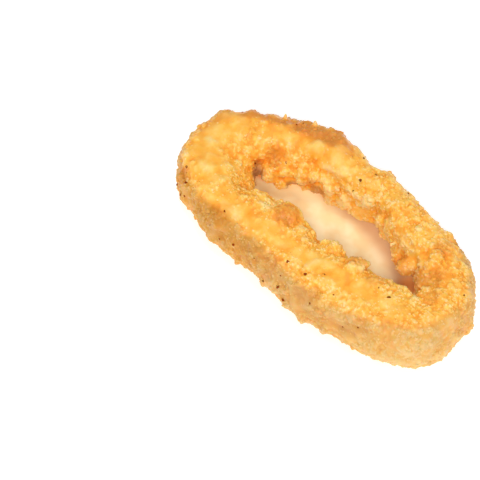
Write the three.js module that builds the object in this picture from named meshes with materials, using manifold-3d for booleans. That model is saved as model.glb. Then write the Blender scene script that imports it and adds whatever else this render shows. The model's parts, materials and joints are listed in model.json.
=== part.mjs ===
// Breaded ring: one oval ring of fried, breaded food, lying flat on its underside.
// Millimetres, +Z up. The origin is under the middle of the ring, on the plane it rests on.
// +X runs along the ring to its slimmer end, and -Y is the side with the broad band.
// The breading is relief on the one solid: lumps that swell the whole crust, and crags of batter fused on.
import * as THREE from "three";
import { ImprovedNoise } from "three/addons/math/ImprovedNoise.js";
import { mergeVertices } from "three/addons/utils/BufferGeometryUtils.js";
import Module from "manifold-3d";

const wasm = await Module();
wasm.setup();

// The line through the middle of the ring's band, seen from above
const HALF_LENGTH = 35.2;
const HALF_WIDTH = 13.2;
const SQUARENESS = 2.45; // 2 is a plain oval, and more fills its corners
const BOW = 2.6; // how far the middle bends towards +Y
const TAPER = 0.06; // how much narrower than the middle it is near +X, and wider near -X

// The band's width at each end and side, and its height
const BAND_WIDTH = { left: 16.8, right: 14.2, near: 16.4, far: 10.8 };
const BAND_HEIGHT = { left: 15.4, right: 16.2, near: 16.0, far: 15.0 };
const BAND_ROUNDNESS = 2.7; // 2 is an ellipse, and more is a rounded square
const SETTLED = 0.8; // how much of the underside sat flat while the crust was soft

// Relief of the crust: broad swellings, lumps of breading and clotted crumbs
const RELIEF = [
  { size: 16, height: 0.9, seed: 3.7 },
  { size: 6.6, height: 1.1, seed: 11.3 },
  { size: 3.9, height: 0.9, seed: 29.9 },
];
const HOLE_RELIEF = 1.6; // the wall of the hole is this many times rougher
const TOP_RELIEF = 0.7; // and the top of the band this many times

// Places on the ring are given by around, the share of the way round from the slim end by the far side, and by
// degrees, the angle round the section from the outside at 0 over the top and down the hole.

// Where the band is thicker or thinner over a stretch: how far across, and by how much
const SWELLS = [
  { name: "foot of the near side", around: 0.8, degrees: -22, size: 7, height: 1.8 },
  { name: "slim end", around: 0, degrees: 0, size: 7, height: -2 },
  { name: "slim end, far side", around: 0.08, degrees: 0, size: 5, height: 1.6 },
  { name: "far shoulder", around: 0.345, degrees: 45, size: 5, height: 1.6 },
  { name: "near rim", around: 0.76, degrees: 125, size: 7, height: -1.7 },
  { name: "near rim under its lobe", around: 0.71, degrees: 125, size: 5, height: 1.2 },
  { name: "near rim, broad end", around: 0.62, degrees: 140, size: 5, height: -3.2 },
  { name: "far wall", around: 0.24, degrees: 192, size: 8, height: -3 },
  { name: "far wall, broad end", around: 0.39, degrees: 188, size: 5, height: 3.2 },
  { name: "wall of the hole, slim end", around: 0.06, degrees: 195, size: 5, height: 1.6 },
];

// The largest crags of batter
const LARGE_CRAGS = [
  { name: "lobe on the near rim", around: 0.71, degrees: 128, radius: 3.2 },
  { name: "flake on the near rim", around: 0.845, degrees: 122, radius: 2.5 },
  { name: "second flake on the near rim", around: 0.885, degrees: 116, radius: 2.1 },
  { name: "clot on the near rim", around: 0.795, degrees: 134, radius: 2.3 },
  { name: "clot at the broad end", around: 0.475, degrees: 142, radius: 2.3 },
  { name: "clot hanging from the far rim", around: 0.405, degrees: 168, radius: 2.7 },
  { name: "second clot hanging from the far rim", around: 0.365, degrees: 176, radius: 2.3 },
  { name: "shelf on the far wall", around: 0.295, degrees: 192, radius: 2.4 },
  { name: "clot on the far wall", around: 0.215, degrees: 172, radius: 1.9 },
  { name: "crag at the slim end", around: 0.125, degrees: 170, radius: 2.2 },
  { name: "clot at the slim end", around: 0.015, degrees: 146, radius: 2.2 },
];

// Smaller crags, scattered over zones of the section
const CRAG_ZONES = [
  { name: "hole wall", count: 6, from: 140, to: 200, smallest: 1.4, largest: 2.0 },
  { name: "hole rim", count: 5, from: 100, to: 135, smallest: 1.2, largest: 1.8 },
  { name: "outer shoulder", count: 4, from: 20, to: 50, smallest: 1.1, largest: 1.6 },
  { name: "outer wall", count: 6, from: -45, to: 20, smallest: 1.2, largest: 1.8 },
];
const CRAG_FLATNESS = { least: 0.5, most: 0.8 }; // its thickness off the crust over its width
const CRAG_LENGTH = { least: 0.9, most: 1.35 };
const CRAG_ROUGHNESS = 0.6;
const LEAST_CRAG_GAP = 3.4;
const FINE_CRAG_RADIUS = 2.25; // crags from this size up have a finer mesh
const SCATTER_SEED = 20;

const AROUND_STEPS = 120;
const ACROSS_STEPS = 31;
const END_CROWDING = 0.3; // how much closer the steps round the ring are at its ends
const FAR_BELOW = 40;

const noise = new ImprovedNoise();

// The closed line that the band follows.
class Centreline extends THREE.Curve {
  getPoint(t, target = new THREE.Vector3()) {
    const angle = 2 * Math.PI * t;
    const c = Math.cos(angle);
    const s = Math.sin(angle);
    const reach = (Math.abs(c) ** SQUARENESS + Math.abs(s) ** SQUARENESS) ** (-1 / SQUARENESS);
    const along = c * reach;
    const halfWidth = HALF_WIDTH * (1 - TAPER * along);
    return target.set(HALF_LENGTH * along, halfWidth * s * reach + BOW * (1 - along ** 2), 0);
  }
}

const centreline = new Centreline();
centreline.arcLengthDivisions = 800;

// Rounded lumps of the given size with creases between them, from 0 in a crease to about 1 on a lump.
function lumps(point, size, seed) {
  const value = noise.noise(point.x / size + seed, point.y / size - seed, point.z / size + 2 * seed);
  return Math.min(1, 1.6 * Math.abs(value));
}

// A size given for the ends and sides, at a place on the ring that faces outwards.
function sizeFacing(sizes, outwards) {
  const end = outwards.x > 0 ? sizes.right : sizes.left;
  const side = outwards.y > 0 ? sizes.far : sizes.near;
  return end * outwards.x ** 2 + side * outwards.y ** 2;
}

// A point of the smooth band and the way its surface faces. around and across both run from 0 to 1,
// and across starts at the outside, goes over the top and down the hole.
function bandPoint(around, across) {
  const middle = centreline.getPointAt(around);
  const tangent = centreline.getTangentAt(around);
  const outwards = new THREE.Vector3(tangent.y, -tangent.x, 0).normalize();
  const angle = 2 * Math.PI * across;
  const c = Math.cos(angle);
  const s = Math.sin(angle);
  const reach = (Math.abs(c) ** BAND_ROUNDNESS + Math.abs(s) ** BAND_ROUNDNESS) ** (-1 / BAND_ROUNDNESS);
  const halfWidth = sizeFacing(BAND_WIDTH, outwards) / 2;
  const halfHeight = sizeFacing(BAND_HEIGHT, outwards) / 2;
  const place = middle.addScaledVector(outwards, halfWidth * c * reach);
  place.z = halfHeight * (1 + s * reach) - SETTLED;
  const power = BAND_ROUNDNESS - 1;
  const facing = outwards.multiplyScalar((Math.sign(c) * Math.abs(c * reach) ** power) / halfWidth);
  facing.z = (Math.sign(s) * Math.abs(s * reach) ** power) / halfHeight;
  return { place, facing: facing.normalize() };
}

// Each swelling's middle and the way it moves the crust, which is never down.
const swells = SWELLS.map(({ around, degrees, size, height }) => {
  const { place, facing } = bandPoint(around, (degrees / 360 + 1) % 1);
  facing.z = Math.max(0, facing.z);
  return { middle: place, way: facing.normalize(), size, height };
});

// The same point with the swellings and the breading's relief on it.
function crustPoint(around, across) {
  const { place, facing } = bandPoint(around, across);
  const smooth = place.clone();
  const inHole = THREE.MathUtils.smoothstep(-Math.cos(2 * Math.PI * across), 0.1, 0.9);
  const onTop = THREE.MathUtils.smoothstep(facing.z, 0.6, 1);
  const rough = 1 + (HOLE_RELIEF - 1) * inHole + (TOP_RELIEF - 1) * onTop;
  const height = RELIEF.reduce((sum, r) => sum + r.height * (lumps(place, r.size, r.seed) - 0.4), 0);
  place.addScaledVector(facing, rough * height);
  for (const { middle, way, size, height: swell } of swells) {
    place.addScaledVector(way, swell * Math.exp(-smooth.distanceToSquared(middle) / size ** 2));
  }
  return place;
}

// The ring of crust, as a torus whose points are moved onto it.
function ringGeometry() {
  const torus = new THREE.TorusGeometry(1, 0.5, ACROSS_STEPS, AROUND_STEPS);
  torus.deleteAttribute("normal");
  torus.deleteAttribute("uv");
  const position = torus.getAttribute("position");
  for (let k = 0; k < position.count; k++) {
    const step = ((k % (AROUND_STEPS + 1)) % AROUND_STEPS) / AROUND_STEPS;
    const around = step - (END_CROWDING * Math.sin(4 * Math.PI * step)) / (4 * Math.PI);
    const across = (Math.floor(k / (AROUND_STEPS + 1)) % ACROSS_STEPS) / ACROSS_STEPS;
    const { x, y, z } = crustPoint(around, across);
    position.setXYZ(k, x, y, z);
  }
  return mergeVertices(torus);
}

// One crag on the crust: a rough lump of batter, squashed along the way the crust faces there.
function cragGeometry({ around, degrees, radius }, random) {
  const across = (degrees / 360 + 1) % 1;
  const lump = new THREE.IcosahedronGeometry(radius, radius < FINE_CRAG_RADIUS ? 1 : 2);
  lump.deleteAttribute("normal");
  lump.deleteAttribute("uv");
  const crag = mergeVertices(lump);
  const position = crag.getAttribute("position");
  const shift = 50 * random();
  const point = new THREE.Vector3();
  for (let k = 0; k < position.count; k++) {
    point.fromBufferAttribute(position, k);
    const swell = noise.noise((1.3 * point.x) / radius + shift, (1.3 * point.y) / radius - shift, point.z / radius);
    point.multiplyScalar(1 + CRAG_ROUGHNESS * swell);
    position.setXYZ(k, point.x, point.y, point.z);
  }
  const length = THREE.MathUtils.lerp(CRAG_LENGTH.least, CRAG_LENGTH.most, random());
  const flatness = THREE.MathUtils.lerp(CRAG_FLATNESS.least, CRAG_FLATNESS.most, random());
  crag.scale(length, 1 / length, flatness);
  crag.rotateZ(2 * Math.PI * random());
  const { facing } = bandPoint(around, across);
  crag.applyQuaternion(new THREE.Quaternion().setFromUnitVectors(new THREE.Vector3(0, 0, 1), facing));
  const place = crustPoint(around, across);
  return crag.translate(place.x, place.y, place.z);
}

// The smaller crags of one zone, clear of the others already there.
function scatteredCrags(zone, random, taken) {
  const crags = [];
  for (let tries = 0; crags.length < zone.count && tries < 60 * zone.count; tries++) {
    const around = random();
    const degrees = THREE.MathUtils.lerp(zone.from, zone.to, random());
    const radius = THREE.MathUtils.lerp(zone.smallest, zone.largest, random());
    const place = crustPoint(around, (degrees / 360 + 1) % 1);
    if (taken.some((other) => other.distanceTo(place) < LEAST_CRAG_GAP)) continue;
    taken.push(place);
    crags.push({ around, degrees, radius });
  }
  return crags;
}

// A generator of numbers from 0 to 1 that gives the same ones each time.
function seededRandom(seed) {
  let state = seed;
  return () => {
    state = (Math.imul(state, 1664525) + 1013904223) >>> 0;
    return state / 2 ** 32;
  };
}

function solidOf(geometry) {
  const triVerts = new Uint32Array(geometry.index.array);
  const vertProperties = new Float32Array(geometry.getAttribute("position").array);
  return new wasm.Manifold(new wasm.Mesh({ numProp: 3, vertProperties, triVerts }));
}

function geometryOf(solid) {
  const mesh = solid.getMesh();
  const geometry = new THREE.BufferGeometry();
  geometry.setAttribute("position", new THREE.BufferAttribute(mesh.vertProperties, 3));
  geometry.setIndex(new THREE.BufferAttribute(mesh.triVerts, 1));
  return geometry;
}

// The whole ring in one solid: crust and crags fused, and the underside cut flat where it rests.
function breadedRing() {
  const random = seededRandom(SCATTER_SEED);
  const taken = LARGE_CRAGS.map((crag) => crustPoint(crag.around, crag.degrees / 360));
  const crags = [...LARGE_CRAGS, ...CRAG_ZONES.flatMap((zone) => scatteredCrags(zone, random, taken))];
  const lumpsOfBatter = crags.map((crag) => solidOf(cragGeometry(crag, random)));
  const fused = lumpsOfBatter.reduce((solid, lump) => solid.add(lump), solidOf(ringGeometry()));
  const below = new THREE.BoxGeometry(4 * HALF_LENGTH, 4 * HALF_LENGTH, FAR_BELOW);
  below.deleteAttribute("normal");
  below.deleteAttribute("uv");
  below.translate(0, 0, -FAR_BELOW / 2);
  const rested = fused.subtract(solidOf(mergeVertices(below)));
  const [whole] = rested.decompose().sort((a, b) => b.volume() - a.volume());
  const geometry = geometryOf(whole);
  geometry.computeBoundingBox();
  const middle = geometry.boundingBox.getCenter(new THREE.Vector3());
  geometry.translate(-middle.x, -middle.y, 0);
  return geometry;
}

const breading = new THREE.MeshStandardMaterial({ color: 0xf0b35c, roughness: 0.6, metalness: 0 });
const ring = new THREE.Mesh(breadedRing(), breading);
ring.geometry.computeVertexNormals();
ring.name = "breaded_ring";

const part = new THREE.Group();
part.add(ring);

export default part;
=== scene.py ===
import json
import math
from functools import partial
from types import SimpleNamespace

import bpy
import numpy as np
from bpy.props import FloatProperty, FloatVectorProperty, IntProperty, PointerProperty
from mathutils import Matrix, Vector, noise

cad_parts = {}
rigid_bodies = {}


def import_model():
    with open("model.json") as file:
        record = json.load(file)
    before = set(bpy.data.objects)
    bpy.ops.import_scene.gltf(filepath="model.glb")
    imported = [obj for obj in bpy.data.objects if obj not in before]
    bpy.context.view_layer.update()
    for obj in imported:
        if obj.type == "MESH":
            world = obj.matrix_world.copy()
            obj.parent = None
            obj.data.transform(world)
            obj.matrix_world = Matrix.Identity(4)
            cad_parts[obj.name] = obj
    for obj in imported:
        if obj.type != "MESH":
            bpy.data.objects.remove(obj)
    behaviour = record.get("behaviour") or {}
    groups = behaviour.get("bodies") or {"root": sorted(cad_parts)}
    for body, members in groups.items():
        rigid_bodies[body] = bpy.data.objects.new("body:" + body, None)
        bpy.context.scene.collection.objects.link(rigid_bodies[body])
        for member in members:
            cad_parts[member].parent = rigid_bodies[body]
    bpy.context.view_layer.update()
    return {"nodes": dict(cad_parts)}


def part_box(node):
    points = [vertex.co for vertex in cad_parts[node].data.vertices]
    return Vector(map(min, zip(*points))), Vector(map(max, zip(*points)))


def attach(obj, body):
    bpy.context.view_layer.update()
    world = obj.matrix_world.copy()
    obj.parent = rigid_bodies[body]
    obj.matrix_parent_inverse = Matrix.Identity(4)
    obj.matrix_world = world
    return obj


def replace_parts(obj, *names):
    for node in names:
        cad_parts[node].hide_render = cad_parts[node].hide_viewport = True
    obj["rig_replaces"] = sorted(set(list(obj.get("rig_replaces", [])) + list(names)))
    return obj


bl_info = {
    "name": "Breaded Ring",
    "version": (1, 0, 0),
    "blender": (4, 5, 0),
    "location": "View3D > Sidebar > Breaded Ring",
    "description": "Dresses an oval ring of food in fried breading",
    "category": "Object",
}

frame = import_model()
LOWEST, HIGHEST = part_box("breaded_ring")
MM = 0.001

# The line round the middle of the band. Half its length is that of the solid's box, less half the band at an
# end. Then come half its width, how far it bends to +Y, how square its corners are, how much narrower it gets
# towards the slim end, where its middle is, and the height of the band round it.
END_HALF_BAND = 7.45 * MM
LINE_HALF_LENGTH = (HIGHEST.x - LOWEST.x) / 2 - END_HALF_BAND
LINE_HALF_WIDTH = 13.2 * MM
LINE_BOW = 2.6 * MM
LINE_SQUARENESS = 2.45
LINE_TAPER = 0.06
LINE_MIDDLE = (0.95 * MM, -0.6 * MM)
BAND_HEIGHT = 15.4 * MM

# The crust is fused in cells, and soft lumps, each with a size and a height, move all of it but what is next
# to the floor. Then its skin is thinned to a number of triangles, and its underside is pressed flat.
FIRST_CELL = 0.5 * MM
FIRST_LUMPS = ((3.5 * MM, 0.7 * MM), (1.5 * MM, 0.25 * MM))
LAST_LUMPS = (0.9 * MM, 0.08 * MM)
NO_LUMPS_BELOW = 0.8 * MM
SKIN_TRIANGLES = 190000
UNDERSIDE_HEIGHT = 0.05 * MM
# Crumbs are modelled this large and scaled as they are strewn. A higher power makes more of them small.
CRUMB_RADIUS = 1 * MM
CRUMB_SIZE_POWER = 1.8
CM2_IN_M2 = 1e4


# Sizes and colours


def length_setting(name, description, default):
    return FloatProperty(name=name, description=description, default=default, unit="LENGTH", precision=5)


def density_setting(name, description, default):
    return FloatProperty(name=name, description=description + " on each square centimetre", default=default)


def angle_setting(name, description, degrees):
    return FloatProperty(name=name, description=description, default=math.radians(degrees), subtype="ANGLE")


def colour_setting(name, description, *default):
    return FloatVectorProperty(name=name, description=description, subtype="COLOR", default=default)


class BreadingSizes(bpy.types.PropertyGroup):
    skin_cell: length_setting("Skin Cell", "Edge of the cells that the crust's skin is fused from", 0.21 * MM)
    clump_smallest: length_setting("Smallest Clump", "Radius of the smallest fused clump", 0.5 * MM)
    clump_largest: length_setting("Largest Clump", "Radius of the largest fused clump", 1.25 * MM)
    clumps: density_setting("Clumps", "Fused clumps", 24.0)
    grains: density_setting("Grains", "Fused grains", 170.0)
    coarse_crumbs: density_setting("Coarse Crumbs", "Coarse crumbs", 6.0)
    fine_crumbs: density_setting("Fine Crumbs", "Fine crumbs", 205.0)
    pepper: density_setting("Pepper", "Specks of pepper", 2.2)
    seed: IntProperty(name="Seed", description="Seed of every scatter", default=3)


class BreadingColours(bpy.types.PropertyGroup):
    # painted shade: the dark colour given to the foot of the hole's wall, where the crags shade it
    painted_shade_colour: colour_setting("Painted Shade", "The foot of the hole's wall", 0.4, 0.16, 0.055)
    browned: colour_setting("Browned", "Flakes that browned most", 0.58, 0.205, 0.03)
    # The deep tone and the orange one fill the hollows as painted shade; the orange one is also the colour of
    # thick, oily places
    deep: colour_setting("Deep", "The deepest hollows", 0.7, 0.25, 0.015)
    orange: colour_setting("Orange", "Hollows and thick, oily places", 0.92, 0.345, 0.03)
    golden: colour_setting("Golden", "Most of the crust", 0.97, 0.45, 0.057)
    yellow: colour_setting("Yellow", "Smooth ridges and lighter crumbs", 0.99, 0.54, 0.11)
    pale: colour_setting("Pale", "Crumbs that browned least", 0.99, 0.66, 0.26)
    # The wall's tones are partly the thin crust's own colour and partly painted shade on the outer wall
    wall: colour_setting("Wall", "The thin crust low on the outside", 0.44, 0.17, 0.015)
    beige_wall: colour_setting("Beige Wall", "The same near the slim end", 0.49, 0.275, 0.1)
    pepper: colour_setting("Pepper", "Specks of ground pepper", 0.2, 0.034, 0.004)


class StageSettings(bpy.types.PropertyGroup):
    azimuth: angle_setting("Azimuth", "Side that the camera looks from", 45.0)
    elevation: angle_setting("Elevation", "How steeply the camera looks down", 55.0)
    distance: length_setting("Distance", "From the camera to the ring", 600 * MM)
    view_width: length_setting("View Width", "Width of the picture at the ring", 114 * MM)


# Small helpers


def settings():
    return bpy.context.scene.breaded_ring


def select_only(obj):
    """Makes one object the active and only selected one."""
    bpy.ops.object.select_all(action="DESELECT")
    obj.select_set(True)
    bpy.context.view_layer.objects.active = obj


def apply_modifier(obj, kind, **values):
    """Adds a modifier with these values and applies it."""
    select_only(obj)
    bpy.ops.object.modifier_add(type=kind)
    modifier = obj.modifiers[-1]
    for name, value in values.items():
        setattr(modifier, name, value)
    bpy.ops.object.modifier_apply(modifier=modifier.name)


def duplicate_piece(obj, name):
    """A copy of a piece with its own mesh."""
    select_only(obj)
    bpy.ops.object.duplicate(linked=False)
    copy = bpy.context.object
    copy.name = name
    copy.data.name = name
    return copy


def vertex_rows(obj, key):
    """Three numbers for each vertex, read from it by this key."""
    rows = np.empty(len(obj.data.vertices) * 3)
    obj.data.vertices.foreach_get(key, rows)
    return rows.reshape(-1, 3)


def points_of(obj):
    return vertex_rows(obj, "co")


def normals_of(obj):
    return vertex_rows(obj, "normal")


def store_values(obj, name, values):
    """Keeps one number for each vertex under a name that materials and scatters read."""
    attribute = obj.data.attributes.get(name) or obj.data.attributes.new(name, "FLOAT", "POINT")
    attribute.data.foreach_set("value", np.clip(values, 0, 1).astype(np.float32))


def ramp(values, low, high):
    """0 at low and 1 at high, with an eased way between."""
    t = np.clip((values - low) / (high - low), 0, 1)
    return t * t * (3 - 2 * t)


def patches(points, size, seed):
    """Soft noise between 0 and 1 with features of the given size."""
    shift = Vector((seed * 7.3, seed * 3.1, seed * 5.7))
    return np.array([0.5 + 0.5 * noise.noise(Vector(p) / size + shift) for p in points])


# Places on the ring. The way round starts at the slim end and passes the far side, the broad end and the near
# side. Round the section, 0 degrees is the outside, 90 the top and 180 the wall of the hole.


def middle_line(steps=720):
    """Points along the line round the middle of the band, and the share of the way round of each."""
    angle = np.linspace(0, 2 * math.pi, steps, endpoint=False)
    c, s = np.cos(angle), np.sin(angle)
    reach = (np.abs(c) ** LINE_SQUARENESS + np.abs(s) ** LINE_SQUARENESS) ** (-1 / LINE_SQUARENESS)
    along = c * reach
    x = LINE_HALF_LENGTH * along
    y = LINE_HALF_WIDTH * (1 - LINE_TAPER * along) * s * reach + LINE_BOW * (1 - along**2)
    line = np.column_stack([x, y]) + LINE_MIDDLE
    lengths = np.linalg.norm(np.diff(np.vstack([line, line[:1]]), axis=0), axis=1)
    return line, np.concatenate([[0], np.cumsum(lengths)[:-1]]) / lengths.sum()


def ring_places(points, at_once=5000):
    """For each point, the share of the way round and the degrees round the section."""
    line, share = middle_line()
    step = np.roll(line, -1, axis=0) - np.roll(line, 1, axis=0)
    outwards = np.column_stack([step[:, 1], -step[:, 0]])
    outwards /= np.linalg.norm(outwards, axis=1, keepdims=True)
    nearest = np.empty(len(points), int)
    for start in range(0, len(points), at_once):
        apart = points[start:start + at_once, None, :2] - line[None]
        nearest[start:start + at_once] = np.argmin((apart**2).sum(-1), axis=1)
    off = ((points[:, :2] - line[nearest]) * outwards[nearest]).sum(1)
    degrees = np.degrees(np.arctan2(points[:, 2] - BAND_HEIGHT / 2, off))
    return share[nearest], np.where(degrees < -90, degrees + 360, degrees)


# Spots that stand out, by where they are: the share of the way round, the degrees round the section, a size
# in millimetres and a strength
# Spots of browned crust, and one spot of painted shade between the crags on the far wall
BROWNED_AND_SHADED_SPOTS = [
    ("flake on the near rim", 0.845, 121, 2.8, 0.7),
    ("second flake on the near rim", 0.885, 121, 2.4, 0.6),
    ("near shoulder", 0.648, 45, 3.0, 0.4),
    ("near wall, broad end", 0.66, 30, 2.6, 0.3),
    ("near wall", 0.752, 39, 2.4, 0.5),
    ("near wall, middle", 0.833, 38, 2.2, 0.5),
    ("near wall, slim end", 0.91, 36, 2.4, 0.5),
    ("broad end", 0.568, 25, 2.6, 0.5),
    ("far wall, broad end", 0.41, 157, 3.0, 0.6),
    # painted shade: the shadow between the crags, put in as browning
    ("far wall, middle", 0.342, 178, 2.0, 0.5),
    ("crag at the slim end", 0.075, 150, 3.0, 0.8),
    ("slim end's rim", 0.003, 112, 2.2, 0.6),
    ("slim end's rim, far side", 0.055, 120, 3.0, 0.7),
    ("far rim, slim end", 0.10, 75, 3.0, 0.5),
]
ORANGE_SPOTS = [
    ("lobe on the near rim", 0.716, 117, 3.8, 1.0),
    ("crag at the slim end of the hole", 0.125, 190, 4.4, 1.0),
]
# Spots of painted shade at the foot of the hole's wall, where the crags overhang it
PAINTED_SHADE_SPOTS = [
    ("corner of the hole, broad end", 0.458, 190, 3.0, 0.9),
    ("wall beside that corner", 0.436, 204, 2.0, 0.85),
    ("over that corner", 0.449, 177, 1.3, 0.55),
    ("under the crag, broad end", 0.425, 208, 2.2, 0.7),
    ("far wall, broad end", 0.37, 205, 2.4, 0.7),
    ("far wall, middle", 0.328, 206, 2.2, 0.6),
    ("corner of the hole, slim end", 0.08, 190, 2.0, 0.8),
]
PALE_SPOTS = [
    ("near ridge, broad end", 0.657, 66, 2.6, 0.7),
    ("far top, middle", 0.305, 104, 3.2, 0.1),
    ("far rim", 0.318, 146, 2.6, 0.8),
    ("far rim, broad end", 0.353, 117, 2.8, 0.2),
    ("far rim, end", 0.403, 118, 3.0, 0.3),
    ("slim end, near side", 0.918, 90, 3.6, 1.2),
    ("broad end's top", 0.538, 85, 5.0, 0.3),
    ("broad end's far shoulder", 0.52, 84, 3.4, 1.3),
    ("near ridge", 0.737, 66, 3.0, 0.5),
    ("near ridge, middle", 0.788, 80, 3.4, 0.8),
    ("far wall, slim end", 0.142, 141, 3.0, 0.6),
    ("near rim, broad end", 0.683, 111, 2.8, 1.6),
    ("near wall", 0.80, 19, 3.4, 0.6),
    ("slim end's wall", 0.965, 20, 4.0, 0.7),
    ("slim end's shoulder", 0.958, 59, 3.0, 0.5),
    ("slim end's rim, near side", 0.957, 116, 2.8, 1.4),
]

# How high the thin crust of the outer wall reaches: the share of the way round, and the degrees
WALL_TOP = (
    (0, 64), (0.04, 54), (0.1, 34), (0.56, 36), (0.68, 50), (0.73, 50),
    (0.78, 42), (0.82, 36), (0.88, 44), (0.93, 58), (0.97, 66), (1, 64),
)

# Bubbles that burst and crags of batter, by where they are: the share of the way round, the degrees round the
# section and a radius in millimetres
BURST_BUBBLES = [
    ("far rim, slim end", 0.197, 150, 0.75),
    ("far rim, middle", 0.275, 158, 0.8),
    ("far rim, broad end", 0.372, 150, 0.65),
    ("near rim", 0.80, 122, 0.6),
    ("slim end", 0.045, 104, 0.6),
]
CRAGS = [
    ("far wall, broad end", 0.414, 193, 2.3),
    ("far wall, between", 0.392, 198, 1.9),
    ("far rim, middle", 0.337, 163, 1.5),
    ("far wall, middle", 0.312, 180, 1.6),
    ("far wall, past the middle", 0.285, 190, 1.4),
    ("far wall, slim end", 0.125, 192, 2.1),
]
# Spikes of batter: the same with a length and a radius in millimetres, and how far each leans upwards
SPIKES = [
    ("far edge, broad end", 0.418, 59, 1.9, 0.75, 1.2),
    ("far edge, middle", 0.378, 56, 2.1, 1.05, 1.2),
    ("far wall, broad end", 0.40, 168, 2.2, 0.66, -0.3),
    ("far wall, middle", 0.30, 172, 2.4, 0.72, -0.3),
    ("far wall, slim end", 0.165, 172, 2.2, 0.66, -0.2),
]
SPIKE_TIP_RADIUS = 0.25 * MM
# The size in millimetres and the strength of the pale spot on a spike that stands on the outside
PALE_TIP = (1.3, 0.8)


def nearest_to(places, spot_around, spot_degrees):
    """Which of the places is nearest to one on the ring."""
    around, degrees = places
    turn = np.abs(around - spot_around)
    return int(np.argmin(np.minimum(turn, 1 - turn) * 60 + np.abs(degrees - spot_degrees) / 60))


def spots(points, places, listed):
    """How strongly the listed spots show at each point."""
    strength = np.zeros(len(points))
    for _, spot_around, spot_degrees, size, weight in listed:
        centre = points[nearest_to(places, spot_around, spot_degrees)]
        distance = np.linalg.norm(points - centre, axis=1)
        strength = np.maximum(strength, weight * (1 - ramp(distance, 0.6 * size * MM, 1.2 * size * MM)))
    return strength


def survey(points):
    """Where each point is on the ring, with soft noise and how far it belongs to each region, from 0 to 1."""
    places = ring_places(points)
    around, degrees = places
    slim_end = 1 - ramp(np.minimum(around, 1 - around), 0.05, 0.12)
    near_side = ramp(around, 0.58, 0.64) * (1 - slim_end)
    past_far_side = ramp(around, 0.42, 0.48)
    far_side = (1 - past_far_side) * (1 - slim_end)
    broad_end = past_far_side * (1 - near_side) * (1 - slim_end)
    broad_top = ramp(degrees, 40, 55) * (1 - ramp(degrees, 100, 120)) * broad_end
    # the smooth ridge of the near side runs from the shoulder, at the broad end, up to the top
    off_ridge = np.abs(degrees - np.interp(around, [0.6, 0.66, 0.78, 0.9], [60, 68, 82, 90]))
    near_ridge = (1 - ramp(off_ridge, 10, 26)) * near_side
    far_ridge = (1 - ramp(np.abs(degrees - 106), 10, 24)) * far_side * ramp(around, 0.22, 0.3)
    # the browned batter on the far edge narrows towards the broad end
    above_edge = degrees - np.interp(around, [0.42, 0.5], [88, 64])
    far_edge = ramp(degrees, 20, 45) * (1 - ramp(above_edge, -10, 10))
    far_edge *= ramp(around, 0.29, 0.33) * (1 - ramp(around, 0.45, 0.54))
    return SimpleNamespace(
        points=points, places=places, around=around, degrees=degrees,
        broad_patches=patches(points, 7 * MM, 1), small_patches=patches(points, 2.6 * MM, 2),
        slim_end=slim_end, near_side=near_side, far_side=far_side, broad_end=broad_end, broad_top=broad_top,
        far_edge=far_edge, smooth=np.maximum(np.maximum(near_ridge, far_ridge), broad_top),
        orange=spots(points, places, ORANGE_SPOTS),
    )


def mark_crumbs(obj, at):
    """Stores how crumbly, smooth and peppered each place is. Nothing is strewn next to the floor."""
    low_wall = (1 - ramp(at.degrees, 12, 34)) * (1 - at.slim_end)
    in_hole = ramp(at.degrees, 105, 130)
    above_floor = ramp(at.points[:, 2], 0.6 * MM, 1.8 * MM)
    clusters = ramp(0.5 * at.broad_patches + 0.5 * at.small_patches, 0.4, 0.53)
    crumbly = (0.2 + 0.8 * clusters) * (1 - 0.95 * at.smooth) * (1 - 0.1 * low_wall)
    crumbly *= 1 - np.clip(0.7 * at.far_edge + 0.4 * at.orange, 0, 1)
    store_values(obj, "crumbly", (crumbly + 0.1 * in_hole) * above_floor)
    store_values(obj, "smooth", at.smooth)
    peppered = 0.3 + 0.7 * at.near_side * (1 - ramp(at.degrees, 50, 70))
    store_values(obj, "peppered", peppered * above_floor)


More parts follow.
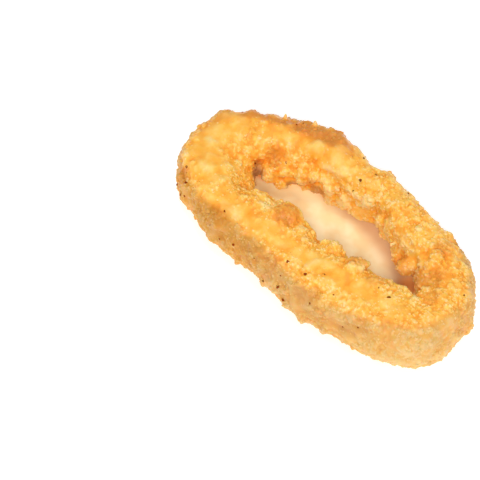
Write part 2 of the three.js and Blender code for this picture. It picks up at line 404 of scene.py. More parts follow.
def mark_shade_browning_and_paleness(obj, at):
    """Stores how much painted shade, browning and paleness each place has. Part of the browning is painted
    shade, and part of the paleness is painted light and shade.
    """
    tips = [(*spike[:3], *PALE_TIP) for spike in SPIKES if spike[2] < 90]
    painted_shade, browned, pale, tipped = (
        spots(at.points, at.places, listed) for listed in (PAINTED_SHADE_SPOTS, BROWNED_AND_SHADED_SPOTS, PALE_SPOTS, tips)
    )
    mottled = ramp(at.small_patches, 0.3, 0.55)
    browned = np.maximum(browned, 1.1 * at.far_edge) * (1 - 0.8 * tipped)
    browner_and_shaded = np.maximum(browned * (0.5 + 0.5 * mottled), 0.5 * at.orange)
    slim_wall = ramp(at.around, 0.86, 0.93) * (1 - ramp(at.degrees, 60, 75))
    # painted shade: a darker line along the crease at the slim end
    painted_crease_shade = at.slim_end * (1 - ramp(np.abs(at.degrees - 62), 3, 8)) * (1 - at.far_side)
    # painted light: the near rim and the wall of the hole are made paler where the lamps leave them darker
    painted_light_on_near_rim = ramp(at.degrees, 98, 112) * at.near_side
    painted_light_on_hole_wall = ramp(at.degrees, 118, 140) * (1 - ramp(at.around, 0.3, 0.38)) * ramp(at.around, 0.06, 0.11)
    far_top = ramp(at.degrees, 55, 70) * (1 - ramp(at.degrees, 118, 130))
    far_top = far_top * ramp(at.around, 0.27, 0.32) * at.far_side
    paleness = 0.48 + 0.05 * at.smooth + 0.13 * pale + 0.3 * tipped
    paleness += sum(shift * zone for shift, zone in (
        (0.16, slim_wall), (-0.2, painted_crease_shade), (0.04, painted_light_on_near_rim), (0.2, painted_light_on_hole_wall), (-0.12, far_top),
        (-0.06, at.broad_top), (-0.42, at.orange),
    ))
    store_values(obj, "painted_shade", painted_shade)
    store_values(obj, "browning_and_shade", browner_and_shaded)
    store_values(obj, "paleness", paleness * (1 - 0.3 * browner_and_shaded))


def mark_wall(obj, at):
    """Stores where the thin crust low on the outside is, whose colour is partly painted shade, and where that
    crust is beige.
    """
    wall_top = np.interp(at.around, *zip(*WALL_TOP))
    outside = 1 - ramp(at.degrees - wall_top + 14 * (at.broad_patches - 0.5), -12, 10)
    # the wall's colour, and its painted shade, fade towards the underside
    fades_towards_underside = 0.75 + 0.25 * ramp(at.degrees, -20, 10)
    outside *= fades_towards_underside * (1 - 0.25 * at.slim_end) * (1 - 0.15 * at.broad_end)
    store_values(obj, "wall", outside * (0.85 + 0.15 * ramp(patches(at.points, 3 * MM, 5), 0.35, 0.65)))
    store_values(obj, "beige", np.maximum(ramp(at.around, 0.62, 0.82), at.slim_end))


def mark_zones(obj):
    """Stores what the scatters and the finishes read about each place."""
    at = survey(points_of(obj))
    for mark in (mark_crumbs, mark_shade_browning_and_paleness, mark_wall):
        mark(obj, at)


def smoothed_points(points, edges, rounds, pull=0.6):
    """The points of a mesh, each pulled towards the middle of its neighbours in round after round."""
    first, second = edges.T
    count = len(points)
    degree = np.bincount(edges.ravel(), minlength=count)
    for _ in range(rounds):
        total = np.column_stack([
            np.bincount(first, axis[second], count) + np.bincount(second, axis[first], count)
            for axis in points.T
        ])
        points = (1 - pull) * points + pull * total / degree[:, None]
    return points


def mark_relief(obj):
    """Stores how far each place stands out of the crust round it: 0.5 is level and 0 a deep hollow."""
    points, normals = points_of(obj), normals_of(obj)
    edges = np.empty(len(obj.data.edges) * 2, int)
    obj.data.edges.foreach_get("vertices", edges)
    edges = edges.reshape(-1, 2)
    grains = smoothed_points(points, edges, rounds=10)
    lumps = smoothed_points(grains, edges, rounds=60)
    for name, surface, level, height in (
        ("relief", points, grains, 0.14 * MM),
        ("hollows", grains, lumps, 0.5 * MM),
    ):
        out = ((surface - level) * normals).sum(1)
        store_values(obj, name, 0.5 + 0.5 * out / height)


def undulate(obj, size, height):
    """Moves the surface in and out by soft noise of this size, all but its underside."""
    clouds = bpy.data.textures.new("Soft lumps", "CLOUDS")
    clouds.noise_scale = size
    clouds.noise_depth = 1
    group = obj.vertex_groups.new(name="above the floor")
    group.add(np.flatnonzero(points_of(obj)[:, 2] > NO_LUMPS_BELOW).tolist(), 1.0, "REPLACE")
    apply_modifier(obj, "DISPLACE", texture=clouds, strength=height, mid_level=0.5, vertex_group=group.name)
    obj.vertex_groups.clear()
    bpy.data.textures.remove(clouds)


def smooth_ridges(obj):
    """Evens out the surface where the crust is smooth."""
    smoothness = np.empty(len(obj.data.vertices), np.float32)
    obj.data.attributes["smooth"].data.foreach_get("value", smoothness)
    group = obj.vertex_groups.new(name="smooth ridges")
    for weight in (0.25, 0.5, 0.75, 1.0):
        group.add(np.flatnonzero(smoothness > weight - 0.125).tolist(), weight, "REPLACE")
    apply_modifier(obj, "SMOOTH", factor=0.6, iterations=14, vertex_group=group.name)
    obj.vertex_groups.clear()


def press_flat(obj, height):
    """Presses what lies lower than this height onto the floor."""
    select_only(obj)
    low = points_of(obj)[:, 2] < height
    if not low.any():
        return
    bpy.ops.object.mode_set(mode="EDIT")
    bpy.ops.mesh.select_all(action="DESELECT")
    bpy.ops.object.mode_set(mode="OBJECT")
    obj.data.vertices.foreach_set("select", low)
    bpy.ops.object.mode_set(mode="EDIT")
    bpy.ops.transform.resize(value=(1, 1, 0), center_override=(0, 0, 0))
    bpy.ops.object.mode_set(mode="OBJECT")


def fuse_on(obj, add_shape, place, direction):
    """Joins a new shape onto an object, its Z axis along a direction."""
    bpy.ops.object.select_all(action="DESELECT")
    add_shape()
    shape = bpy.context.object
    shape.location = place
    shape.rotation_euler = Vector(direction).to_track_quat("Z", "Y").to_euler()
    shape.select_set(True)
    obj.select_set(True)
    bpy.context.view_layer.objects.active = obj
    bpy.ops.object.join()


def add_crags(obj):
    """Puts large rounded lumps on the wall of the hole, to be fused with it."""
    points, normals = points_of(obj), normals_of(obj)
    places = ring_places(points)
    for _, around, degrees, radius in CRAGS:
        at = nearest_to(places, around, degrees)
        lump = partial(bpy.ops.mesh.primitive_ico_sphere_add, subdivisions=3, radius=radius * MM)
        fuse_on(obj, lump, points[at] + 0.1 * radius * MM * normals[at], normals[at])


def add_bubbles_and_spikes(obj):
    """Puts the rims of burst bubbles and the spikes of batter on the crust, to be fused with it."""
    points, normals = points_of(obj), normals_of(obj)
    places = ring_places(points)
    for _, around, degrees, radius in BURST_BUBBLES:
        at = nearest_to(places, around, degrees)
        rim = partial(
            bpy.ops.mesh.primitive_torus_add, major_segments=20, minor_segments=10,
            major_radius=radius * MM, minor_radius=0.36 * radius * MM,
        )
        fuse_on(obj, rim, points[at], normals[at])
    for _, around, degrees, length, radius, lean in SPIKES:
        at = nearest_to(places, around, degrees)
        direction = normals[at] + np.array([0.0, 0.0, lean])
        direction /= np.linalg.norm(direction)
        spike = partial(
            bpy.ops.mesh.primitive_cone_add, vertices=12, radius1=radius * MM, radius2=SPIKE_TIP_RADIUS,
            depth=length * MM,
        )
        fuse_on(obj, spike, points[at] + 0.25 * length * MM * direction, direction)


# Scattering


def crumb_shapes(name, material, subdivisions, count, roughness, flatness=1.0):
    """A collection of rough crumbs, each modelled from a ball whose points are moved at random."""
    shapes = bpy.data.collections.new(name)
    bpy.context.scene.collection.children.link(shapes)
    for k in range(count):
        bpy.ops.object.select_all(action="DESELECT")
        bpy.ops.mesh.primitive_ico_sphere_add(subdivisions=subdivisions, radius=CRUMB_RADIUS)
        crumb = bpy.context.object
        crumb.name = f"{name}_{k}"
        bpy.ops.object.mode_set(mode="EDIT")
        bpy.ops.mesh.select_all(action="SELECT")
        bpy.ops.transform.vertex_random(offset=roughness * CRUMB_RADIUS, uniform=1.0, normal=0.0, seed=k + 1)
        squash = (1.0 + 0.12 * (k % 3), 1.0 - 0.1 * (k % 4), flatness)
        bpy.ops.transform.resize(value=squash)
        bpy.ops.object.mode_set(mode="OBJECT")
        bpy.ops.object.shade_smooth()
        crumb.data.materials.append(material)
        for collection in crumb.users_collection:
            collection.objects.unlink(crumb)
        shapes.objects.link(crumb)
    return shapes


def remove_shapes(shapes):
    """Removes the crumbs that were strewn, once their copies are in place."""
    for obj in list(shapes.objects):
        mesh = obj.data
        bpy.data.objects.remove(obj)
        bpy.data.meshes.remove(mesh)
    bpy.data.collections.remove(shapes)


def strew(obj, shapes, per_cm2, scales, sink, seed, tumble=math.pi, zone="crumbly", keep_base=False):
    """Strews the shapes over an object's faces, denser where the zone's value is higher, and applies that.

    The scales are the smallest and the largest, and most shapes are small. The middle of each lies under the
    surface by the sink's share of its radius, and it is turned at random by up to the tumble.
    """
    tree = bpy.data.node_groups.new("Strewn " + shapes.name, "GeometryNodeTree")
    tree.interface.new_socket("Geometry", in_out="INPUT", socket_type="NodeSocketGeometry")
    tree.interface.new_socket("Geometry", in_out="OUTPUT", socket_type="NodeSocketGeometry")

    def add(kind, **values):
        node = tree.nodes.new(kind)
        for name, value in values.items():
            if hasattr(node, name):
                setattr(node, name, value)
            else:
                node.inputs[name.replace("_", " ").title()].default_value = value
        return node

    def link(source, target):
        tree.links.new(source, target)

    group_in, group_out = add("NodeGroupInput"), add("NodeGroupOutput")
    where = add("GeometryNodeInputNamedAttribute", data_type="FLOAT", Name=zone)
    points = add("GeometryNodeDistributePointsOnFaces", distribute_method="RANDOM", Seed=seed)
    density = add("ShaderNodeMath", operation="MULTIPLY")
    density.inputs[1].default_value = per_cm2 * CM2_IN_M2
    link(where.outputs["Attribute"], density.inputs[0])
    link(density.outputs[0], points.inputs["Density"])
    link(group_in.outputs[0], points.inputs["Mesh"])

    chance = add("FunctionNodeRandomValue", data_type="FLOAT", Seed=seed + 1)
    skewed = add("ShaderNodeMath", operation="POWER")
    skewed.inputs[1].default_value = CRUMB_SIZE_POWER
    link(chance.outputs[1], skewed.inputs[0])
    size = add("ShaderNodeMapRange")
    size.inputs["To Min"].default_value, size.inputs["To Max"].default_value = scales
    link(skewed.outputs[0], size.inputs["Value"])

    depth = add("ShaderNodeMath", operation="MULTIPLY")
    depth.inputs[1].default_value = -sink * CRUMB_RADIUS
    link(size.outputs[0], depth.inputs[0])
    offset = add("ShaderNodeVectorMath", operation="SCALE")
    link(points.outputs["Normal"], offset.inputs[0])
    link(depth.outputs[0], offset.inputs["Scale"])
    sunk = add("GeometryNodeSetPosition")
    link(points.outputs["Points"], sunk.inputs["Geometry"])
    link(offset.outputs[0], sunk.inputs["Offset"])

    tone = add("FunctionNodeRandomValue", data_type="FLOAT", Seed=seed + 2)
    toned = add("GeometryNodeStoreNamedAttribute", data_type="FLOAT", domain="POINT", Name="tone")
    link(sunk.outputs[0], toned.inputs["Geometry"])
    link(tone.outputs[1], toned.inputs["Value"])

    turn = add("FunctionNodeRandomValue", data_type="FLOAT_VECTOR", Seed=seed + 3)
    turn.inputs[0].default_value = (-tumble, -tumble, -math.pi)
    turn.inputs[1].default_value = (tumble, tumble, math.pi)
    turned = add("FunctionNodeRotateRotation", rotation_space="LOCAL")
    spin = add("FunctionNodeEulerToRotation")
    link(turn.outputs[0], spin.inputs[0])
    link(points.outputs["Rotation"], turned.inputs[0])
    link(spin.outputs[0], turned.inputs[1])

    source = add("GeometryNodeCollectionInfo")
    source.inputs["Collection"].default_value = shapes
    source.inputs["Separate Children"].default_value = True
    source.inputs["Reset Children"].default_value = True
    placed = add("GeometryNodeInstanceOnPoints")
    placed.inputs["Pick Instance"].default_value = True
    link(toned.outputs[0], placed.inputs["Points"])
    link(source.outputs[0], placed.inputs["Instance"])
    link(turned.outputs[0], placed.inputs["Rotation"])
    link(size.outputs[0], placed.inputs["Scale"])
    real = add("GeometryNodeRealizeInstances")
    link(placed.outputs[0], real.inputs[0])
    if keep_base:
        joined = add("GeometryNodeJoinGeometry")
        link(group_in.outputs[0], joined.inputs[0])
        link(real.outputs[0], joined.inputs[0])
        link(joined.outputs[0], group_out.inputs[0])
    else:
        link(real.outputs[0], group_out.inputs[0])
    apply_modifier(obj, "NODES", node_group=tree)
    bpy.data.node_groups.remove(tree)


# Materials


def new_group(name, inputs, outputs):
    """An empty shader node group with these named sockets."""
    group = bpy.data.node_groups.new(name, "ShaderNodeTree")
    for socket, kind, value in inputs:
        made = group.interface.new_socket(socket, in_out="INPUT", socket_type=kind)
        if value is not None:
            made.default_value = value
    for socket, kind in outputs:
        group.interface.new_socket(socket, in_out="OUTPUT", socket_type=kind)
    return group, group.nodes.new("NodeGroupInput"), group.nodes.new("NodeGroupOutput")


def noise_node(tree, vector, size, detail=2.0, roughness=0.55):
    """A Noise Texture with features of about the given size in metres."""
    node = tree.nodes.new("ShaderNodeTexNoise")
    node.inputs["Scale"].default_value = 1 / size
    node.inputs["Detail"].default_value = detail
    node.inputs["Roughness"].default_value = roughness
    tree.links.new(vector, node.inputs["Vector"])
    return node.outputs[0]


def math_node(tree, operation, *values, clamp=False):
    """A Math node on numbers or sockets."""
    node = tree.nodes.new("ShaderNodeMath")
    node.operation = operation
    node.use_clamp = clamp
    for socket, value in zip(node.inputs, values):
        if isinstance(value, (int, float)):
            socket.default_value = value
        else:
            tree.links.new(value, socket)
    return node.outputs[0]


def range_node(tree, value, low, high, to_low=0.0, to_high=1.0):
    """Maps low to high onto another range, eased and clamped."""
    node = tree.nodes.new("ShaderNodeMapRange")
    node.interpolation_type = "SMOOTHSTEP"
    for socket, number in zip(("From Min", "From Max", "To Min", "To Max"), (low, high, to_low, to_high)):
        node.inputs[socket].default_value = number
    tree.links.new(value, node.inputs["Value"])
    return node.outputs[0]


def mix_node(tree, factor, first, second):
    """Mixes two colours."""
    node = tree.nodes.new("ShaderNodeMix")
    node.data_type = "RGBA"
    for socket, value in ((node.inputs[0], factor), (node.inputs[6], first), (node.inputs[7], second)):
        if isinstance(value, (int, float)):
            socket.default_value = value
        elif isinstance(value, (tuple, list)):
            socket.default_value = (*value[:3], 1.0)
        else:
            tree.links.new(value, socket)
    return node.outputs[2]


def oval_reach(tree, vector, oval):
    """How far out a place is from an oval's middle, with 1 on the oval."""
    x, y, half_length, half_width = (value * MM for value in oval)
    scale = (1 / half_length, 1 / half_width)
    mapping = tree.nodes.new("ShaderNodeMapping")
    mapping.inputs["Location"].default_value = (-x * scale[0], -y * scale[1], 0)
    mapping.inputs["Scale"].default_value = (*scale, 0)
    tree.links.new(vector, mapping.inputs["Vector"])
    reach = tree.nodes.new("ShaderNodeVectorMath")
    reach.operation = "LENGTH"
    tree.links.new(mapping.outputs[0], reach.inputs[0])
    return reach.outputs["Value"]


# The group's colour inputs and the settings that they take, and its number inputs with the value of each
CRUST_COLOURS = {
    "Deep": "deep", "Orange": "orange", "Golden": "golden", "Yellow": "yellow", "Pale": "pale",
    "Wall Crust And Shade": "wall", "Beige Crust And Shade": "beige_wall", "Browned And Shaded Crust": "browned",
    "Painted Shade Crust": "painted_shade_colour",
}
CRUST_ZONES = {
    "Paleness": 0.5, "Wall": 0.0, "Beige": 0.0, "Browning_And_Shade": 0.0,
    "Painted_Shade": 0.0, "Smooth": 0.0, "Relief": 0.5, "Hollows": 0.5,
}
# How far noise of each size shifts the tone, and how far what stands out of the crust is painted paler and
# its hollows darker and more orange, as painted light and shade
MOTTLING = ((6 * MM, 0.7), (2.2 * MM, 0.65), (0.8 * MM, 0.42))
EVENNESS_WHERE_SMOOTH = 0.55
RELIEF_LIGHT_AND_SHADE_SHIFTS = (("Relief", 0.38), ("Hollows", 0.3))
# Where, as the crust gets paler, each tone takes over from the one before
TONE_STEPS = (("Orange", -0.1, 0.3), ("Golden", 0.28, 0.5), ("Yellow", 0.48, 0.7), ("Pale", 0.66, 1.0))
# How strongly the wall's colour, partly painted shade, shows, and how much less on a light crumb
WALL_AND_SHADE_STRENGTH, WALL_ON_LIGHT_CRUMBS = 0.74, -0.55
BROWNING_AND_SHADE_STRENGTH = 0.75
# The finest grain: how rough it is where oil lies and where it is dry, how much of its relief is left on the
# smooth ridges, and how high it stands
OILY_ROUGHNESS, DRY_ROUGHNESS = 0.36, 0.58
BUMP_WHERE_SMOOTH = 0.35
GRAIN_HEIGHT = 0.12 * MM


def fried_colour_group():
    """Five fried tones, from deep orange to pale, mottled at three sizes, with painted light on what stands
    out and painted shade in the hollows, walls whose colour is partly painted shade, browned places, and
    painted shade at the foot of the hole's wall.
    """
    colour, number = "NodeSocketColor", "NodeSocketFloat"
    group, given, out = new_group(
        "Fried Colour",
        [("Vector", "NodeSocketVector", None)]
        + [(name, colour, None) for name in CRUST_COLOURS]
        + [(name, number, value) for name, value in CRUST_ZONES.items()]
        + [("Tone", number, 0.0)],
        [("Color", colour)],
    )
    vector = given.outputs["Vector"]
    paleness = math_node(group, "ADD", given.outputs["Paleness"], given.outputs["Tone"])
    evenness = range_node(group, given.outputs["Smooth"], 0.0, 1.0, 1.0, EVENNESS_WHERE_SMOOTH)
    for size, shift in MOTTLING:
        level = math_node(group, "SUBTRACT", noise_node(group, vector, size), 0.5)
        level = math_node(group, "MULTIPLY", level, evenness)
        paleness = math_node(group, "MULTIPLY_ADD", level, shift, paleness)
    # painted light on what stands out and painted shade in the hollows
    for name, shift in RELIEF_LIGHT_AND_SHADE_SHIFTS:
        raised = math_node(group, "SUBTRACT", given.outputs[name], 0.5)
        paleness = math_node(group, "MULTIPLY_ADD", raised, shift, paleness)
    tint = given.outputs["Deep"]
    for name, low, high in TONE_STEPS:
        tint = mix_node(group, range_node(group, paleness, low, high), tint, given.outputs[name])
    tone = given.outputs["Tone"]
    walled = math_node(group, "MULTIPLY_ADD", tone, WALL_ON_LIGHT_CRUMBS, WALL_AND_SHADE_STRENGTH, clamp=True)
    walled = math_node(group, "MULTIPLY", given.outputs["Wall"], walled)
    # the outer wall: the thin crust's own colour with painted shade
    wall = mix_node(group, given.outputs["Beige"], given.outputs["Wall Crust And Shade"], given.outputs["Beige Crust And Shade"])
    tint = mix_node(group, walled, tint, wall)
    # browned places, and a spot of painted shade on the far wall
    browning_and_shade = math_node(group, "MULTIPLY", given.outputs["Browning_And_Shade"], BROWNING_AND_SHADE_STRENGTH)
    tint = mix_node(group, browning_and_shade, tint, given.outputs["Browned And Shaded Crust"])
    # painted shade at the foot of the hole's wall
    tint = mix_node(group, given.outputs["Painted_Shade"], tint, given.outputs["Painted Shade Crust"])
    group.links.new(tint, out.inputs["Color"])
    return group


def crumb_grain_group():
    """Height and gloss of the finest crumbs, too small to model."""
    group, given, out = new_group(
        "Crumb Grain",
        [("Vector", "NodeSocketVector", None), ("Grain Size", "NodeSocketFloat", 0.5 * MM)],
        [("Height", "NodeSocketFloat"), ("Roughness", "NodeSocketFloat")],
    )
    cells = group.nodes.new("ShaderNodeTexVoronoi")
    cells.feature = "SMOOTH_F1"
    cells.inputs["Smoothness"].default_value = 0.6
    group.links.new(given.outputs["Vector"], cells.inputs["Vector"])
    group.links.new(math_node(group, "DIVIDE", 1.0, given.outputs["Grain Size"]), cells.inputs["Scale"])
    rounded = math_node(group, "SUBTRACT", 1.0, cells.outputs["Distance"])
    pitted = noise_node(group, given.outputs["Vector"], 0.35 * MM, detail=3.0)
    group.links.new(math_node(group, "MULTIPLY_ADD", pitted, 0.6, rounded), out.inputs["Height"])
    dryness = noise_node(group, given.outputs["Vector"], 2.4 * MM)
    roughness = range_node(group, dryness, 0.35, 0.65, OILY_ROUGHNESS, DRY_ROUGHNESS)
    group.links.new(roughness, out.inputs["Roughness"])
    return group


def attribute_value(tree, name):
    """A number that the mesh stores for each vertex."""
    node = tree.nodes.new("ShaderNodeAttribute")
    node.attribute_name = name
    return node.outputs["Fac"]


def new_material(name):
    """A material with its tree, its shader and the place on the object that patterns read."""
    material = bpy.data.materials.new(name)
    material.use_nodes = True
    tree = material.node_tree
    where = tree.nodes.new("ShaderNodeTexCoord").outputs["Object"]
    return material, tree, tree.nodes["Principled BSDF"], where


def place_group(tree, name, make_group, where):
    """A node of a shader node group, which is made when it is first asked for."""
    node = tree.nodes.new("ShaderNodeGroup")
    node.node_tree = bpy.data.node_groups.get(name) or make_group()
    tree.links.new(where, node.inputs["Vector"])
    return node


def fried_material(name, bump, softness=0.0, lightest=0.0, tones=0.0):
    """A fried finish. Crumbs differ by up to tones below the lightest, and softness lets light in."""
    material, tree, shader, where = new_material(name)
    smooth, wall = attribute_value(tree, "smooth"), attribute_value(tree, "wall")

    tint = place_group(tree, "Fried Colour", fried_colour_group, where)
    for socket, setting in CRUST_COLOURS.items():
        tint.inputs[socket].default_value = (*getattr(settings().colours, setting), 1.0)
    for socket in CRUST_ZONES:
        tree.links.new(attribute_value(tree, socket.lower()), tint.inputs[socket])
    tone = math_node(tree, "MULTIPLY_ADD", attribute_value(tree, "tone"), tones, lightest - tones)
    tree.links.new(tone, tint.inputs["Tone"])
    tree.links.new(tint.outputs["Color"], shader.inputs["Base Color"])

    grain = place_group(tree, "Crumb Grain", crumb_grain_group, where)
    tree.links.new(grain.outputs["Roughness"], shader.inputs["Roughness"])
    raised = tree.nodes.new("ShaderNodeBump")
    strength = range_node(tree, smooth, 0.0, 1.0, bump, BUMP_WHERE_SMOOTH * bump)
    tree.links.new(strength, raised.inputs["Strength"])
    raised.inputs["Distance"].default_value = GRAIN_HEIGHT
    tree.links.new(grain.outputs["Height"], raised.inputs["Height"])
    tree.links.new(raised.outputs["Normal"], shader.inputs["Normal"])

    shader.inputs["Subsurface Weight"].default_value = softness
    shader.inputs["Subsurface Radius"].default_value = (1.0, 0.35, 0.12)
    shader.inputs["Subsurface Scale"].default_value = 1.3 * MM
    # oil shines on what stands out, less on the wall and smooth ridges and least in the hollows
    oil = range_node(tree, attribute_value(tree, "hollows"), 0.3, 0.6, 0.15, 1.0)
    for place, driest, oiliest in ((wall, 0.08, 0.32), (smooth, 0.5, 1.0)):
        oil = math_node(tree, "MULTIPLY", oil, range_node(tree, place, 0.0, 1.0, oiliest, driest))
    tree.links.new(oil, shader.inputs["Coat Weight"])
    shader.inputs["Coat Roughness"].default_value = 0.24
    shader.inputs["Specular IOR Level"].default_value = 0.2
    return material


def pepper_material():
    """Dull, dark specks with lighter flecks."""
    material, tree, shader, where = new_material("Ground pepper")
    dark = settings().colours.pepper
    flecks = range_node(tree, noise_node(tree, where, 0.3 * MM), 0.4, 0.7)
    colour = mix_node(tree, flecks, tuple(dark), tuple(2 * c for c in dark))
    tree.links.new(colour, shader.inputs["Base Color"])
    tree.links.new(range_node(tree, flecks, 0.0, 1.0, 0.6, 0.9), shader.inputs["Roughness"])
    shader.inputs["Specular IOR Level"].default_value = 0.0
    return material


# Pieces


def finish_piece(obj):
    """Says what the piece rides on."""
    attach(obj, "root")


def copy_solid(name):
    """A copy of the ring's solid whose faces are joined at their edges."""
    piece = bpy.data.objects.new(name, frame["nodes"]["breaded_ring"].data.copy())
    bpy.context.scene.collection.objects.link(piece)
    select_only(piece)
    bpy.ops.object.mode_set(mode="EDIT")
    bpy.ops.mesh.select_all(action="SELECT")
    bpy.ops.mesh.remove_doubles(threshold=0.001 * MM)
    bpy.ops.object.mode_set(mode="OBJECT")
    return piece


def fuse_first_shape(crust):
    """Fuses the crags with the ring and gives it soft lumps."""
    add_crags(crust)
    apply_modifier(crust, "REMESH", mode="VOXEL", voxel_size=FIRST_CELL)
    apply_modifier(crust, "SMOOTH", factor=0.5, iterations=5)
    for size, height in FIRST_LUMPS:
        undulate(crust, size, height)
    mark_zones(crust)


def add_clumps_and_grains(crust, finish):
    """Strews clumps over the crust, and grains over both, as shapes that are still to be fused."""
    sizes = settings().sizes
    clumps = crumb_shapes("clumps", finish, subdivisions=2, count=6, roughness=0.25, flatness=0.75)
    scales = (sizes.clump_smallest / MM, sizes.clump_largest / MM)
    strew(crust, clumps, sizes.clumps, scales, sink=0.45, seed=sizes.seed, tumble=0.5, keep_base=True)
    add_bubbles_and_spikes(crust)
    # the clumps keep the zones of the crust under them, so grains go on them too
    grains = crumb_shapes("grains", finish, subdivisions=2, count=6, roughness=0.15)
    strew(crust, grains, sizes.grains, (0.25, 0.6), sink=0.3, seed=sizes.seed + 10, keep_base=True)
    remove_shapes(clumps)
    remove_shapes(grains)


def fuse_skin(crust):
    """Fuses all of the crust into one skin, smooth on the ridges and flat where it rests."""
    apply_modifier(crust, "REMESH", mode="VOXEL", voxel_size=settings().sizes.skin_cell)
    apply_modifier(crust, "SMOOTH", factor=0.5, iterations=2)
    mark_zones(crust)
    smooth_ridges(crust)
    undulate(crust, *LAST_LUMPS)
    triangles = sum(len(face.vertices) - 2 for face in crust.data.polygons)
    apply_modifier(crust, "DECIMATE", ratio=min(1.0, SKIN_TRIANGLES / triangles))
    press_flat(crust, UNDERSIDE_HEIGHT)
    bpy.ops.object.shade_smooth()


class BREADEDRING_OT_crust(bpy.types.Operator):
    """Fuse clumps and grains onto the ring and skin it as one crust"""

    bl_idname = "breadedring.crust"
    bl_label = "Crust"

    def execute(self, context):
        finish = fried_material("Fried crust", bump=0.36, softness=0.75)
        crust = copy_solid("fried_crust")
        fuse_first_shape(crust)
        add_clumps_and_grains(crust, finish)
        fuse_skin(crust)
        mark_zones(crust)
        mark_relief(crust)
        crust.data.materials.clear()
        crust.data.materials.append(finish)
        finish_piece(crust)
        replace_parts(crust, "breaded_ring")
        return {"FINISHED"}


def add_strewn_piece(name, shapes, per_cm2, scales, **values):
    """Makes a piece of its own of shapes strewn over the crust, none of them below the floor."""
    piece = duplicate_piece(bpy.data.objects["fried_crust"], name)
    # the crust alone stands for the solid
    if "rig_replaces" in piece:
        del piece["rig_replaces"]
    strew(piece, shapes, per_cm2, scales, **values)
    press_flat(piece, 0)
    remove_shapes(shapes)
    finish_piece(piece)


class BREADEDRING_OT_coarse_crumbs(bpy.types.Operator):
    """Strew coarse crumbs, about 1 to 2 mm across, over the crust"""

    bl_idname = "breadedring.coarse_crumbs"
    bl_label = "Coarse Crumbs"

    def execute(self, context):
        sizes = settings().sizes
        finish = fried_material("Coarse crumb", bump=0.4, lightest=0.2, tones=0.25)
        shapes = crumb_shapes("coarse", finish, subdivisions=2, count=8, roughness=0.16, flatness=0.62)
        add_strewn_piece(
            "coarse_crumbs", shapes, sizes.coarse_crumbs, (0.4, 0.95), sink=0.35, seed=sizes.seed + 20,
            tumble=0.7,
        )
        return {"FINISHED"}


class BREADEDRING_OT_fine_crumbs(bpy.types.Operator):
    """Strew fine crumbs, under 1 mm across, over the crust"""

    bl_idname = "breadedring.fine_crumbs"
    bl_label = "Fine Crumbs"

    def execute(self, context):
        sizes = settings().sizes
        finish = fried_material("Fine crumb", bump=0.2, lightest=0.42, tones=0.36)
        shapes = crumb_shapes("fine", finish, subdivisions=1, count=8, roughness=0.12)
        add_strewn_piece(
            "fine_crumbs", shapes, sizes.fine_crumbs, (0.18, 0.38), sink=0.35, seed=sizes.seed + 30,
        )
        return {"FINISHED"}


class BREADEDRING_OT_pepper(bpy.types.Operator):
    """Strew specks of ground pepper over the crust"""

    bl_idname = "breadedring.pepper"
    bl_label = "Pepper"

    def execute(self, context):
        sizes = settings().sizes
        finish = pepper_material()
        shapes = crumb_shapes("pepper", finish, subdivisions=1, count=4, roughness=0.4, flatness=0.5)
        add_strewn_piece(
            "pepper_specks", shapes, sizes.pepper, (0.22, 0.5), sink=0.0, seed=sizes.seed + 40, tumble=0.3,
            zone="peppered",
        )
        return {"FINISHED"}


# The stage. Clean paper and the cream paper inside the ring, whose tint is painted bounce light, each lie
# between two tones, and the paper inside the ring glows between two more, as painted light.
FLOOR_SIZE = 4.0
CLEAN_PAPER = ((0.93, 0.92, 0.90), (0.95, 0.94, 0.92))
# painted bounce light: the cream of warm light thrown from the crust onto the paper in the hole
BOUNCE_TINTED_PAPER = ((0.92, 0.75, 0.4), (0.95, 0.87, 0.56))
SHADED_PAPER = (0.72, 0.46, 0.24)
# painted shade in the corners of the hole
PAINTED_CORNER_SHADE = (0.95, 0.43, 0.1)
CLEAN_GLOW = (0.9, 0.96, 1)
# painted light: the glow of the paper in the hole
PAINTED_GLOW = ((0.08, 0.06, 0.03), (0.58, 0.42, 0.17))
GLOW_STRENGTH = 0.34
# Where the broad end's glow starts and is full, along the ring
GLOW_FROM, GLOW_FULL = -4 * MM, -20 * MM
# Ovals on the paper, in millimetres: the middle, and half the length and width. The cream of painted bounce
# light fills the first, painted shade from the ring's far side lies outside the second, and the others are
# the corners of the hole, in painted shade.
BOUNCE_TINT_OVAL = (0, 0, 34, 15)
UNSHADED_OVAL = (-8, -3, 36, 16)
CORNER_SHADE_OVALS = ((-26.8, 5.4, 3.6, 2.2), (22.5, 6.7, 3.5, 3.5))
# Between which reaches, with 1 on its oval, each of them fades in
BOUNCE_TINT_EDGE, SHADE_EDGE, CORNER_SHADE_EDGE = (1.08, 0.95), (0.72, 0.98), (1.3, 0.4)
ROOM_LIGHT = 0.5
# Each light: name, place and size in metres, and watts
LIGHTS = (
    ("key light", (0.0, 0.05, 1.0), 0.3, 2.4),
    ("front fill", (0.47, -0.56, 0.82), 0.25, 6.6),
)
# Where the ring's middle stands in the square picture, in pixels
PICTURE_SIZE = 480
RING_IN_PICTURE = (325.25, 228.75)
RING_MIDDLE = Vector((0, 0, 8 * MM))
SENSOR_WIDTH = 36


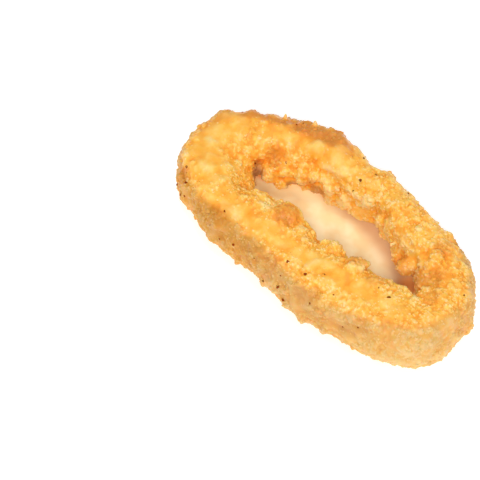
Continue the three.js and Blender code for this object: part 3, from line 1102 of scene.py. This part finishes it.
def paper_material():
    """White paper, tinted cream with painted bounce light inside the ring, with painted shade along the foot
    of its far side and in the corners of the hole.
    """
    paper, tree, shader, where = new_material("White paper")
    # where the paper is tinted cream with painted bounce light
    bounce_tinted = range_node(tree, oval_reach(tree, where, BOUNCE_TINT_OVAL), *BOUNCE_TINT_EDGE)
    shaded = range_node(tree, oval_reach(tree, where, UNSHADED_OVAL), *SHADE_EDGE)
    fibres = range_node(tree, noise_node(tree, where, 5 * MM), 0.35, 0.65)
    clean = mix_node(tree, fibres, *CLEAN_PAPER)
    paper_in_hole = mix_node(tree, shaded, mix_node(tree, fibres, *BOUNCE_TINTED_PAPER), SHADED_PAPER)
    # the broad end of the hole is lit as if the ring were tilted, all but its corner
    axes = tree.nodes.new("ShaderNodeSeparateXYZ")
    tree.links.new(where, axes.inputs[0])
    lit = range_node(tree, axes.outputs["X"], GLOW_FROM, GLOW_FULL)
    # painted shade in the hole's corners, which also take none of the glow
    for oval in CORNER_SHADE_OVALS:
        reach = oval_reach(tree, where, oval)
        paper_in_hole = mix_node(tree, range_node(tree, reach, *CORNER_SHADE_EDGE), paper_in_hole, PAINTED_CORNER_SHADE)
        lit = math_node(tree, "MULTIPLY", lit, range_node(tree, reach, *reversed(CORNER_SHADE_EDGE)))
    glow = mix_node(tree, lit, *PAINTED_GLOW)
    tree.links.new(mix_node(tree, bounce_tinted, clean, paper_in_hole), shader.inputs["Base Color"])
    tree.links.new(mix_node(tree, bounce_tinted, CLEAN_GLOW, glow), shader.inputs["Emission Color"])
    shader.inputs["Emission Strength"].default_value = GLOW_STRENGTH
    shader.inputs["Roughness"].default_value = 0.9
    return paper


def add_floor():
    """A wide sheet of the paper under the ring."""
    bpy.ops.object.select_all(action="DESELECT")
    bpy.ops.mesh.primitive_plane_add(size=FLOOR_SIZE, location=(0, 0, 0))
    floor = bpy.context.object
    floor.name = "floor"
    floor.data.materials.append(paper_material())


def add_lights():
    """A white room, and the lights, which point at the ring."""
    world = bpy.data.worlds.new("White room")
    world.use_nodes = True
    background = world.node_tree.nodes["Background"]
    background.inputs["Color"].default_value = (1, 1, 1, 1)
    background.inputs["Strength"].default_value = ROOM_LIGHT
    bpy.context.scene.world = world
    for name, place, size, power in LIGHTS:
        bpy.ops.object.light_add(type="AREA", location=place)
        light = bpy.context.object
        light.name = name
        light.data.size = size
        light.data.energy = power
        light.rotation_euler = (-Vector(place)).to_track_quat("-Z", "Y").to_euler()


def add_camera():
    """A camera that looks from the chosen side and shows the ring where the picture has it."""
    stage = settings().stage
    sin_a, cos_a = math.sin(stage.azimuth), math.cos(stage.azimuth)
    sin_e, cos_e = math.sin(stage.elevation), math.cos(stage.elevation)
    look = Vector((-sin_a * cos_e, cos_a * cos_e, -sin_e))
    right = Vector((cos_a, sin_a, 0))
    up = right.cross(look)
    pixel = stage.view_width / PICTURE_SIZE
    across, down = ((place - PICTURE_SIZE / 2) * pixel for place in RING_IN_PICTURE)
    bpy.ops.object.camera_add(location=RING_MIDDLE - look * stage.distance - right * across + up * down)
    camera = bpy.context.object
    camera.rotation_euler = look.to_track_quat("-Z", "Y").to_euler()
    camera.data.sensor_width = SENSOR_WIDTH
    camera.data.lens = SENSOR_WIDTH * stage.distance / stage.view_width
    camera.data.clip_start = 0.01
    bpy.context.scene.camera = camera


class BREADEDRING_OT_stage(bpy.types.Operator):
    """Set up the floor, the lights and the camera"""

    bl_idname = "breadedring.stage"
    bl_label = "Stage"

    def execute(self, context):
        add_floor()
        add_lights()
        add_camera()
        context.scene.view_settings.view_transform = "Standard"
        return {"FINISHED"}


class BREADEDRING_PT_panel(bpy.types.Panel):
    bl_label = "Breaded Ring"
    bl_idname = "BREADEDRING_PT_panel"
    bl_space_type = "VIEW_3D"
    bl_region_type = "UI"
    bl_category = "Breaded Ring"

    def draw(self, context):
        for operator in PIECES:
            self.layout.operator(operator.bl_idname)
        for group in (settings().sizes, settings().colours, settings().stage):
            for name in group.__annotations__:
                self.layout.prop(group, name)


class BreadedRingSettings(bpy.types.PropertyGroup):
    sizes: PointerProperty(type=BreadingSizes)
    colours: PointerProperty(type=BreadingColours)
    stage: PointerProperty(type=StageSettings)


PIECES = (
    BREADEDRING_OT_crust,
    BREADEDRING_OT_coarse_crumbs,
    BREADEDRING_OT_fine_crumbs,
    BREADEDRING_OT_pepper,
    BREADEDRING_OT_stage,
)
CLASSES = (BreadingSizes, BreadingColours, StageSettings, BreadedRingSettings, *PIECES, BREADEDRING_PT_panel)


def register():
    for cls in CLASSES:
        bpy.utils.register_class(cls)
    bpy.types.Scene.breaded_ring = PointerProperty(type=BreadedRingSettings)


def unregister():
    del bpy.types.Scene.breaded_ring
    for cls in reversed(CLASSES):
        bpy.utils.unregister_class(cls)


def main():
    register()
    bpy.ops.breadedring.crust()
    bpy.ops.breadedring.coarse_crumbs()
    bpy.ops.breadedring.fine_crumbs()
    bpy.ops.breadedring.pepper()
    bpy.ops.breadedring.stage()


if __name__ == "__main__":
    main()
